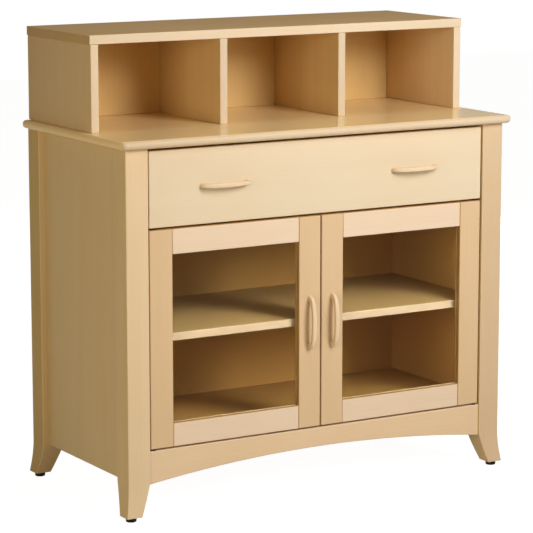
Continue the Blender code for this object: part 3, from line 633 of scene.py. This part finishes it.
# Painted shade: the top board is darker than the ends, as shade on its top face.
HUTCH_TOP_SHADE = ("D4B589", "C6A272")
HUTCH_END_WOOD = ("E4C9A0", "D6B589")
HUTCH_WALL_WOOD = ("D8BB8A", "CBA874")
HUTCH_LIPPING = ("E0CEB7", "D3BC9C")
DIVIDER_LIPPING = ("D6C4AE", "C9B495")
HUTCH_LINING = ("E2C184", "D4AC6E")
HUTCH_SHINE = 0.0
HUTCH_LOG = Vector((0.21, 0.47, 0.0))
HUTCH_LOG_STEP = Vector((0.09, -0.06, 0.3))
hutch_boards = {"hutch_top": (0, HUTCH_TOP_SHADE, HUTCH_LIPPING)}
hutch_boards |= {f"hutch_divider_{side}": (2, HUTCH_WALL_WOOD, DIVIDER_LIPPING) for side in SIDES}
hutch_boards |= {f"hutch_end_{side}": (2, HUTCH_END_WOOD, HUTCH_LIPPING) for side in SIDES}
hutch_boards |= {"hutch_back_panel": (2, HUTCH_LINING, HUTCH_LINING)}
for number, (node, (grain, faces, edges)) in enumerate(hutch_boards.items()):
    cut_at = HUTCH_LOG + number * HUTCH_LOG_STEP
    wood = lacquered_maple(f"maple_{node}", grain, cut_at, faces, edges, shine=HUTCH_SHINE)
    low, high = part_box(node)
    if node != "hutch_top":
        low.z -= GLUE_GAP
    eased = skin(f"{node}_board", nosed_board(low, high, HUTCH_EASE, HUTCH_CORNER)[None], wood)
    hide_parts(node)
    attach(eased, "cabinet")

# Bow pulls
# Each pull is an arch of solid maple, sawn from a board, narrowed to its feet and rounded over by hand. Two
# screws from behind the drawer front or the door stile hold its feet.
PULL_STANDOFF = 0.024
PULL_THICKNESS = 0.009
PULL_FOOT = 0.014
PULL_WIDTH = 0.011
PULL_TAPER = 0.25
PULL_FULLNESS = 2.5
PULL_ROUND = 0.0034
PULL_ROWS = 57
PULL_WOOD = ("E5CEB0", "D8B995")
PULL_LOG = Vector((0.2, 0.3, 0.4))
PULL_LOG_STEP = Vector((0.1, 0.0, 0.0))


def bow_points(low, high):
    """Rows along a bow, from foot to foot. Its outer and inner lines are superellipses over the same feet;
    a row is a rounded rectangle from one line to the other, narrowed by the square of the way to a foot.
    """
    upright = high.z - low.z > high.x - low.x
    half = ((high.z - low.z) if upright else (high.x - low.x)) / 2
    turn = np.linspace(0, np.pi, PULL_ROWS)
    power = 2 / PULL_FULLNESS
    along_shape = np.sign(np.cos(turn)) * np.abs(np.cos(turn)) ** power
    out_shape = np.abs(np.sin(turn)) ** power
    outer = np.stack([half * along_shape, PULL_STANDOFF * out_shape], axis=-1)
    inner_height = PULL_STANDOFF - PULL_THICKNESS
    inner = np.stack([(half - PULL_FOOT) * along_shape, inner_height * out_shape], axis=-1)
    middle = (outer + inner) / 2
    thick = np.linalg.norm(outer - inner, axis=-1, keepdims=True) / 2
    away = (outer - inner) / (2 * thick)
    wide = PULL_WIDTH / 2 * (1 - PULL_TAPER * (middle[:, :1] / half) ** 2)
    corner, corner_x, corner_y = corner_arcs(CORNER_POINTS)
    off = (thick - PULL_ROUND) * corner_x + PULL_ROUND * np.cos(corner)
    side = (wide - PULL_ROUND) * corner_y + PULL_ROUND * np.sin(corner)
    along = middle[:, :1] + away[:, :1] * off
    out = middle[:, 1:] + away[:, 1:] * off
    centre = (low + high) / 2
    y = high.y - out
    if upright:
        return np.stack([centre.x + side, y, centre.z + along], axis=-1)
    return np.stack([centre.x + along, y, centre.z + side], axis=-1)


pull_bodies = {f"drawer_pull_{side}": "drawer" for side in SIDES}
pull_bodies |= {f"door_{side}_pull": f"door_{side}" for side in SIDES}
for number, (node, body) in enumerate(pull_bodies.items()):
    grain = 0 if body == "drawer" else 2
    cut_at = PULL_LOG + number * PULL_LOG_STEP
    wood = lacquered_maple(f"maple_{node}", grain, cut_at, PULL_WOOD, arris=0.0)
    pull = skin(f"bow_{node}", bow_points(*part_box(node))[None], wood)
    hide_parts(node)
    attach(pull, body)

# Drawer
# The wide front is one maple board, its upper edge painted brown as the shade in the gap under the worktop.
# Behind it is a box of birch plywood, its sides housed in the front and its bottom in grooves, which runs
# on a pair of zinc-plated steel slides.
DRAWER_WOOD = ("DCCCB3", "D2BC9B")
# Painted shade: the upward faces of the front are brown, as the shade in the gap under the worktop.
TOP_EDGE_SHADE = ("B98B50", "AB7D43")
PLY_FACE = ("E2CBA3", "D3B688")
PLY_EDGE = ("D9BE92", "A9814F")
DRAWER_CUT = (0.33, 0.29, 0.61)
PLY_LAYER = 0.0024
PLY_LAYER_WAVER = 0.3
PLY_FIGURE = 0.012
PLY_FIGURE_RUN = 0.12
PLY_FIGURE_WAVER = 0.8
PLY_FACING = 0.6
PLY_DULL = (0.5, 0.64)
PLY_SHINE = 0.2


def birch_plywood(name, grain, layer):
    """Rotary-cut birch plywood, thinly lacquered: a pale face with soft wandering figure, and dark and pale
    layers on its edges. Real layers are 1.4 mm, drawn wider to show. layer is the axis across the sheet.
    """
    material, tree, shader = new_material(name)
    spot = add_node(tree, "ShaderNodeTexCoord")
    length = [1.0, 1.0, 1.0]
    length[grain] = PLY_FIGURE_RUN
    cut = add_node(tree, "ShaderNodeMapping", {"Vector": spot.outputs["Object"], "Scale": length})
    figure = add_node(
        tree,
        "ShaderNodeTexNoise",
        {
            "Vector": cut.outputs["Vector"],
            "Scale": 1 / PLY_FIGURE,
            "Detail": FIBRE_DETAIL,
            "Distortion": PLY_FIGURE_WAVER,
        },
    )
    face = add_node(
        tree,
        "ShaderNodeMix",
        {"Factor": figure.outputs["Fac"], "A": linear(PLY_FACE[0]), "B": linear(PLY_FACE[1])},
        data_type="RGBA",
    )
    layers = add_node(
        tree,
        "ShaderNodeTexWave",
        {
            "Vector": spot.outputs["Object"],
            "Scale": WAVE_PERIOD / (2 * PLY_LAYER),
            "Distortion": PLY_LAYER_WAVER,
        },
        wave_type="BANDS",
        bands_direction="XYZ"[layer],
    )
    edge = add_node(
        tree,
        "ShaderNodeMix",
        {"Factor": layers.outputs["Fac"], "A": linear(PLY_EDGE[0]), "B": linear(PLY_EDGE[1])},
        data_type="RGBA",
    )
    facing = add_node(tree, "ShaderNodeSeparateXYZ", {"Vector": spot.outputs["Normal"]})
    flat = add_node(tree, "ShaderNodeMath", {0: facing.outputs[layer]}, operation="ABSOLUTE")
    on_face = add_node(
        tree, "ShaderNodeMath", {0: flat.outputs[0], 1: PLY_FACING}, operation="GREATER_THAN"
    )
    colour = add_node(
        tree,
        "ShaderNodeMix",
        {"Factor": on_face.outputs[0], "A": edge.outputs["Result"], "B": face.outputs["Result"]},
        data_type="RGBA",
    )
    dull = add_node(
        tree,
        "ShaderNodeMapRange",
        {"Value": figure.outputs["Fac"], "To Min": PLY_DULL[0], "To Max": PLY_DULL[1]},
    )
    tree.links.new(colour.outputs["Result"], shader.inputs["Base Color"])
    tree.links.new(dull.outputs["Result"], shader.inputs["Roughness"])
    shader.inputs["Specular IOR Level"].default_value = PLY_SHINE
    return material


finish_node(
    "drawer_front",
    lacquered_maple("maple_drawer_front", 0, DRAWER_CUT, DRAWER_WOOD, TOP_EDGE_SHADE, lined=(0, 0, 1)),
)
ply_side = birch_plywood("birch_ply_drawer_side", 1, 0)
finish_node("drawer_back", birch_plywood("birch_ply_drawer_back", 0, 1))
finish_node("drawer_bottom", birch_plywood("birch_ply_drawer_bottom", 0, 2))
for side_name in SIDES:
    finish_node(f"drawer_side_{side_name}", ply_side)
    finish_node(f"drawer_slide_channel_{side_name}", steel)
    finish_node(f"drawer_slide_runner_{side_name}", steel)

# Doors
# Each door is a frame of solid maple, its rails tongued into the stiles with their grain across, and a pane
# of clear float glass held in a groove all round. The stiles run the full height, and the edges next to the
# glass and along the top are painted brown, as the shade in the reveals and gaps.
STILE_WOOD = ("D9BD9A", "CBAB83")
DOOR_RAIL_WOOD = ("E4CFB8", "D8BDA0")
# Painted shade: the edges next to the glass and the upward faces are brown, as the shade in the reveals and
# gaps.
REVEAL_SHADE = ("B98B50", "AB7D43")
FRAME_SHINE = 0.05
FRAME_LOG = Vector((0.37, 0.31, 0.43))
FRAME_LOG_STEP = 0.1
GLASS_BODY = "F7FBF8"
GLASS_PASSES = "F4F7F4"
GLASS_IOR = 1.10
REAM_SIZE = 0.111
REAM_DEPTH = 0.0002
REAM_STRENGTH = 0.3


def float_glass(name):
    """Clear float glass: smooth, with the faint green of its body and long weak waves. Its low IOR keeps
    reflections weak. Light passes on to the shelf, so shadow rays go straight through with a little loss.
    """
    material, tree, shader = new_material(name)
    shader.inputs["Base Color"].default_value = linear(GLASS_BODY)
    shader.inputs["Roughness"].default_value = 0.0
    shader.inputs["IOR"].default_value = GLASS_IOR
    shader.inputs["Transmission Weight"].default_value = 1.0
    spot = add_node(tree, "ShaderNodeTexCoord")
    ream = add_node(
        tree,
        "ShaderNodeTexNoise",
        {"Vector": spot.outputs["Object"], "Scale": 1 / REAM_SIZE, "Detail": 1.0},
    )
    relief = add_node(
        tree,
        "ShaderNodeBump",
        {"Height": ream.outputs["Fac"], "Distance": REAM_DEPTH, "Strength": REAM_STRENGTH},
    )
    tree.links.new(relief.outputs["Normal"], shader.inputs["Normal"])
    clear = add_node(tree, "ShaderNodeBsdfTransparent", {"Color": linear(GLASS_PASSES)})
    ray = add_node(tree, "ShaderNodeLightPath")
    either = add_node(
        tree,
        "ShaderNodeMixShader",
        {0: ray.outputs["Is Shadow Ray"], 1: shader.outputs["BSDF"], 2: clear.outputs["BSDF"]},
    )
    tree.links.new(either.outputs["Shader"], tree.nodes["Material Output"].inputs["Surface"])
    return material


glass = float_glass("clear_float_glass")
for number, (side_name, side) in enumerate(SIDES.items()):
    door = f"door_{side_name}_"
    finish_node(door + "glass", glass)
    for piece, grain, wood, edges in (
        ("hinge_stile", 2, STILE_WOOD, (-side, 0, 1)),
        ("meeting_stile", 2, STILE_WOOD, (side, 0, 1)),
        ("top_rail", 0, DOOR_RAIL_WOOD, (0, 0, 1)),
        ("bottom_rail", 0, DOOR_RAIL_WOOD, (0, 0, 1)),
    ):
        low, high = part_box(door + piece)
        cut_at = FRAME_LOG + Vector((-low.x, FRAME_LOG_STEP * number, -low.z))
        frame_wood = lacquered_maple(
            f"maple_{door}{piece}",
            grain,
            cut_at,
            wood,
            REVEAL_SHADE,
            shine=FRAME_SHINE,
            arris=0.0,
            lined=edges,
        )
        finish_node(door + piece, frame_wood)

# Pivots and catches
# The doors turn on hidden pins of blackened steel, one with a collar in the rail and one on a plate under
# the drawer. A black magnetic catch at the top of each meeting stile keeps the door shut.
BLACKED_TONES = ("2E261D", "40352A")
black_steel = plated_steel("blackened_steel", BLACKED_TONES)
for side_name in SIDES:
    finish_node(f"pivot_pin_{side_name}", black_steel)
    finish_node(f"pivot_plate_{side_name}", black_steel)
    finish_node(f"door_catch_{side_name}", nylon)

# Screws
# Pan-head steel screws that show only from behind or with the drawer and doors open: two for each pull, and
# rows that fix the case back to the boards behind it and the hutch back to its dividers.
HEAD_RADIUS = 0.0042
HEAD_HEIGHT = 0.0024
RECESS_RADIUS = 0.0017
RECESS_DEPTH = 0.0012
RECESS_TAPER = 0.7
DOME_TURN = 70
DOME_ROWS = 6
SCREW_INSET = 0.05
BACK_SCREWS = 6
HUTCH_SCREWS = 3


def screw_rows(middle):
    """Rows of one pan head lying on a face that looks along +Y: recess floor, recess wall, dome and rim."""
    dome = np.radians(np.linspace(DOME_TURN, 0, DOME_ROWS))
    profile = [(RECESS_RADIUS * RECESS_TAPER, HEAD_HEIGHT - RECESS_DEPTH), (RECESS_RADIUS, HEAD_HEIGHT)]
    profile += list(zip(HEAD_RADIUS * np.cos(dome), HEAD_HEIGHT * np.sin(dome)))
    return turned(profile, middle, axis=1)


def screws(name, places, body):
    """One group of like screws on a body."""
    group = skin(name, np.stack([screw_rows(place) for place in places]), steel)
    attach(group, body)


foot_reach = PULL_FOOT / 2
front_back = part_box("door_left_meeting_stile")[1].y
pull_screws = {"drawer": []}
for node, body in pull_bodies.items():
    low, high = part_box(node)
    centre = (low + high) / 2
    if body == "drawer":
        pull_screws[body] += [(x, front_back, centre.z) for x in (low.x + foot_reach, high.x - foot_reach)]
    else:
        pull_screws[body] = [(centre.x, front_back, z) for z in (low.z + foot_reach, high.z - foot_reach)]
for body, places in pull_screws.items():
    screws(f"{body}_pull_screws", places, body)

back_low, back_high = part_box("case_back_panel")
behind = ("bottom_panel", "drawer_divider_panel", "top_stretcher_rear")
levels = [sum((corner.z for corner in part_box(node)), 0.0) / 2 for node in behind]
spacing = np.linspace(back_low.x + SCREW_INSET, back_high.x - SCREW_INSET, BACK_SCREWS)
screws("case_back_screws", [(x, back_high.y, z) for z in levels for x in spacing], "cabinet")

hutch_low, hutch_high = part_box("hutch_back_panel")
divider_x = [sum((corner.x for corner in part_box(f"hutch_divider_{side}")), 0.0) / 2 for side in SIDES]
rise = np.linspace(hutch_low.z + SCREW_INSET, hutch_high.z - SCREW_INSET, HUTCH_SCREWS)
screws("hutch_back_screws", [(x, hutch_high.y, z) for x in divider_x for z in rise], "cabinet")

# Floor and light
# A plain pale floor and a white surround, which in gloss dims above the floor like a studio sweep and
# gives a warm fill. Soft lamps: a near key and a broad one in front and to the right, a weak warm one on
# the left, one above, and one low behind.
WHITE = (1.0, 1.0, 1.0, 1.0)
FLOOR_HALF = 9.0
FLOOR_PAINT = (0.62, 0.58, 0.50, 1.0)
FLOOR_SHADOW = (0.20, 0.20, 0.20, 1.0)
FLOOR_WHITE = 0.96
FILL = (0.125, 0.118, 0.098, 1.0)
SWEEP_FOOT = 0.03
SWEEP_TOP = 0.12
ROOM_SHARE = 0.15
KEY_FROM = Vector((0.35, -1.6, 1.7))
KEY_SIZE = 0.7
KEY_POWER = 18.0
FRONT_FROM = Vector((1.05, -3.0, 1.7))
FRONT_SIZE = 1.2
FRONT_POWER = 43.0
LEFT_FROM = Vector((-2.4, -1.5, 1.1))
LEFT_SIZE = 1.0
LEFT_POWER = 20.0
LEFT_TINT = "FFF0CC"
TOP_FROM = Vector((0.0, -0.1, 4.0))
TOP_SIZE = 1.2
TOP_POWER = 16.0
BACK_FROM = Vector((2.4, 3.4, 0.55))
BACK_SIZE = 0.9
BACK_POWER = 60.0
LAMP_AIM = Vector((0.0, -0.1, 0.55))


def seen_plainly(tree, gloss=1.0):
    """1 for a ray that shows the white surround, from the camera or by way of gloss and glass, as long as
    no matt surface has scattered it; 0 for the rays that carry the fill. gloss is how much of the white
    a gloss ray shows.
    """
    ray = add_node(tree, "ShaderNodeLightPath").outputs
    clear = add_node(tree, "ShaderNodeMath", {0: ray["Diffuse Depth"], 1: 0.5}, operation="LESS_THAN")
    mirrored = add_node(tree, "ShaderNodeMath", {0: ray["Is Glossy Ray"], 1: gloss}, operation="MULTIPLY")
    seen = ray["Is Camera Ray"]
    for kind in (mirrored.outputs[0], ray["Is Transmission Ray"]):
        seen = add_node(tree, "ShaderNodeMath", {0: seen, 1: kind}, operation="MAXIMUM").outputs[0]
    return add_node(
        tree, "ShaderNodeMath", {0: seen, 1: clear.outputs[0]}, operation="MULTIPLY"
    ).outputs[0]


world = bpy.data.worlds.new("soft_surround")
bpy.context.scene.world = world
world.use_nodes = True
tree = world.node_tree
direction = add_node(tree, "ShaderNodeTexCoord").outputs["Generated"]
upward = add_node(tree, "ShaderNodeSeparateXYZ", {"Vector": direction}).outputs["Z"]
sweep = add_node(
    tree,
    "ShaderNodeMapRange",
    {"Value": upward, "From Min": SWEEP_FOOT, "From Max": SWEEP_TOP, "To Min": 1.0, "To Max": ROOM_SHARE},
)
surround = add_node(
    tree,
    "ShaderNodeMix",
    {"Factor": seen_plainly(tree, sweep.outputs["Result"]), "A": FILL, "B": WHITE},
    data_type="RGBA",
)
tree.links.new(surround.outputs["Result"], tree.nodes["Background"].inputs["Color"])

floor_paint, tree, shader = new_material("pale_matt_floor")
plain = add_node(tree, "ShaderNodeBsdfDiffuse", {"Color": FLOOR_PAINT})
shade = add_node(tree, "ShaderNodeBsdfDiffuse", {"Color": FLOOR_SHADOW})
white = add_node(tree, "ShaderNodeEmission", {"Color": WHITE, "Strength": FLOOR_WHITE})
bright = add_node(tree, "ShaderNodeAddShader", {0: shade.outputs[0], 1: white.outputs[0]})
floor_mix = add_node(
    tree, "ShaderNodeMixShader", {0: seen_plainly(tree), 1: plain.outputs[0], 2: bright.outputs[0]}
)
tree.links.new(floor_mix.outputs[0], tree.nodes["Material Output"].inputs["Surface"])
floor_mesh = bpy.data.meshes.new("floor")
floor_corners = FLOOR_HALF * np.array([(-1, -1, 0), (1, -1, 0), (1, 1, 0), (-1, 1, 0)])
floor_mesh.from_pydata(floor_corners.tolist(), [], [(0, 1, 2, 3)])
floor_mesh.materials.append(floor_paint)
floor = bpy.data.objects.new("floor", floor_mesh)
bpy.context.scene.collection.objects.link(floor)
floor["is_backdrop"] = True


def soft_lamp(name, place, size, power, tint="FFFFFF"):
    """A square area lamp at a place, turned to face the middle of the cabinet."""
    data = bpy.data.lights.new(name, "AREA")
    data.size = size
    data.energy = power
    data.color = linear(tint)[:3]
    lamp = bpy.data.objects.new(name, data)
    lamp.location = place
    lamp.rotation_euler = (LAMP_AIM - place).to_track_quat("-Z", "Y").to_euler()
    bpy.context.scene.collection.objects.link(lamp)


soft_lamp("key_lamp", KEY_FROM, KEY_SIZE, KEY_POWER)
soft_lamp("front_lamp", FRONT_FROM, FRONT_SIZE, FRONT_POWER)
soft_lamp("left_lamp", LEFT_FROM, LEFT_SIZE, LEFT_POWER, LEFT_TINT)
soft_lamp("top_lamp", TOP_FROM, TOP_SIZE, TOP_POWER)
soft_lamp("back_lamp", BACK_FROM, BACK_SIZE, BACK_POWER)

# Camera
# The photograph's view: from the left of the front and a little above the hutch, through a long lens.
CAMERA_PLACE = Vector((-2.91504, -4.8536, 1.48913))
CAMERA_YAW = -30.9373
CAMERA_PITCH = 80.0255
CAMERA_ROLL = -0.0139
CAMERA_LENS = 165.147
SENSOR_WIDTH = 36.0
camera_data = bpy.data.cameras.new("camera")
camera_data.lens = CAMERA_LENS
camera_data.sensor_width = SENSOR_WIDTH
camera = bpy.data.objects.new("camera", camera_data)
camera.matrix_world = (
    Matrix.Translation(CAMERA_PLACE)
    @ Matrix.Rotation(np.radians(CAMERA_YAW), 4, "Z")
    @ Matrix.Rotation(np.radians(CAMERA_PITCH), 4, "X")
    @ Matrix.Rotation(np.radians(CAMERA_ROLL), 4, "Z")
)
bpy.context.scene.collection.objects.link(camera)
bpy.context.scene.camera = camera
bpy.context.scene.view_settings.view_transform = "Standard"

sizes = {"cad": cad_bounds, "visual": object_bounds()}
sizes = {name: [list(corner) for corner in bounds] for name, bounds in sizes.items()}
